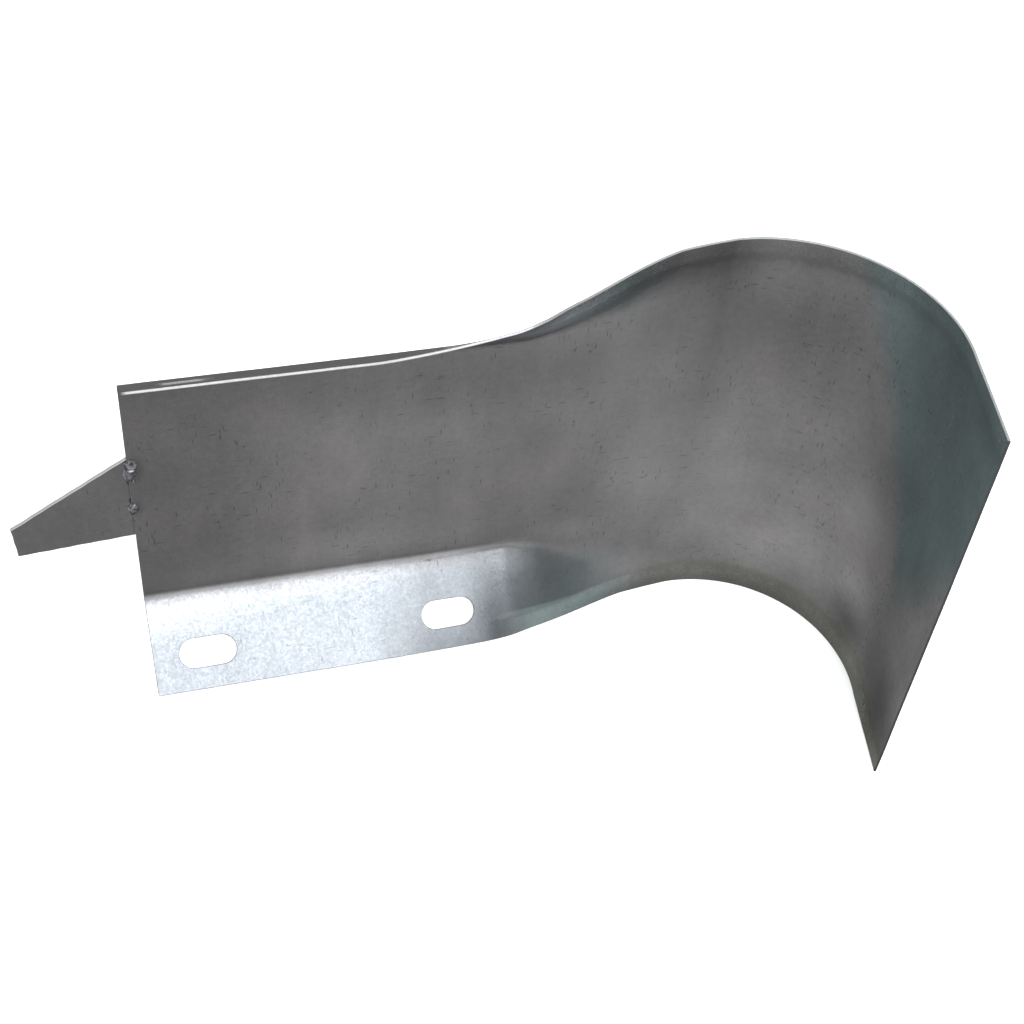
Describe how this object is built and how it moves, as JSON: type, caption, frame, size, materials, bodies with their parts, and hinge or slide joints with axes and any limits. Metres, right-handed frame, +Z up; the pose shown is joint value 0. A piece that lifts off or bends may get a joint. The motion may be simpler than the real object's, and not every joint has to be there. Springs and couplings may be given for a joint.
{
  "type": "bullnose guardrail terminal",
  "caption": "Galvanised pressed-steel guardrail end terminal: a shallow slotted channel that flares and curls into a rounded bullnose, with a flat guide tongue.",
  "frame": {"origin": "on the web's inner face, at mid-height, at the centre of the slot pattern", "axes": "+X along the rail towards the nose, +Z up, -Y out of the web's inner face"},
  "size_m": [0.6369, 0.2312, 0.365],
  "materials": {
    "galvanised_sheet": "hot-dip galvanised, dull with faint spangle",
    "galvanised_tongue": "hot-dip galvanised, dull",
    "weld_metal": "rough weld bead under zinc"
  },
  "bodies": {
    "root": {"terminal_sheet": "galvanised_sheet", "tongue_plate": "galvanised_tongue", "upper_tack_weld": "weld_metal", "lower_tack_weld": "weld_metal"}
  },
  "joints": []
}
